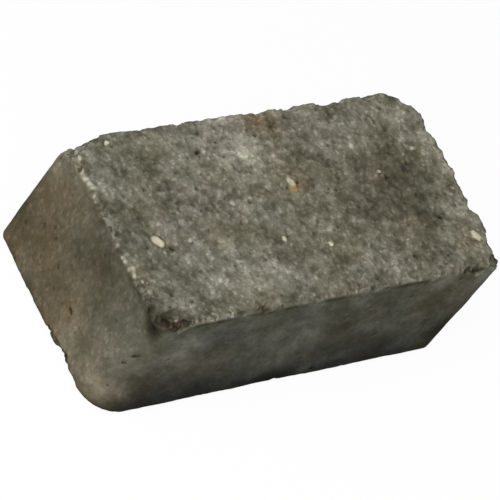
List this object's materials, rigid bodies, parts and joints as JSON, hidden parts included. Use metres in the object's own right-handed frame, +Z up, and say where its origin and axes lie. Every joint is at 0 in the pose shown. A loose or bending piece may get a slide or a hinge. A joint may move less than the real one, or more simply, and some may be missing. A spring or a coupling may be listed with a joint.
{
  "type": "concrete paving stone",
  "caption": "Solid rectangular concrete paving block with tumbled, chipped edges, laid on its flat bed in sand to surface a path, drive or terrace.",
  "frame": {"origin": "centre of the flat bed face that the stone lies on", "axes": "+X along the length, +Y across the width towards the back, +Z up to the wearing face"},
  "size_m": [0.208, 0.106, 0.08],
  "materials": {
    "concrete": "rough, tumbled grey concrete with open grain on the wearing face and smoother moulded sides"
  },
  "bodies": {
    "root": {"paving_stone": "concrete"}
  },
  "joints": []
}
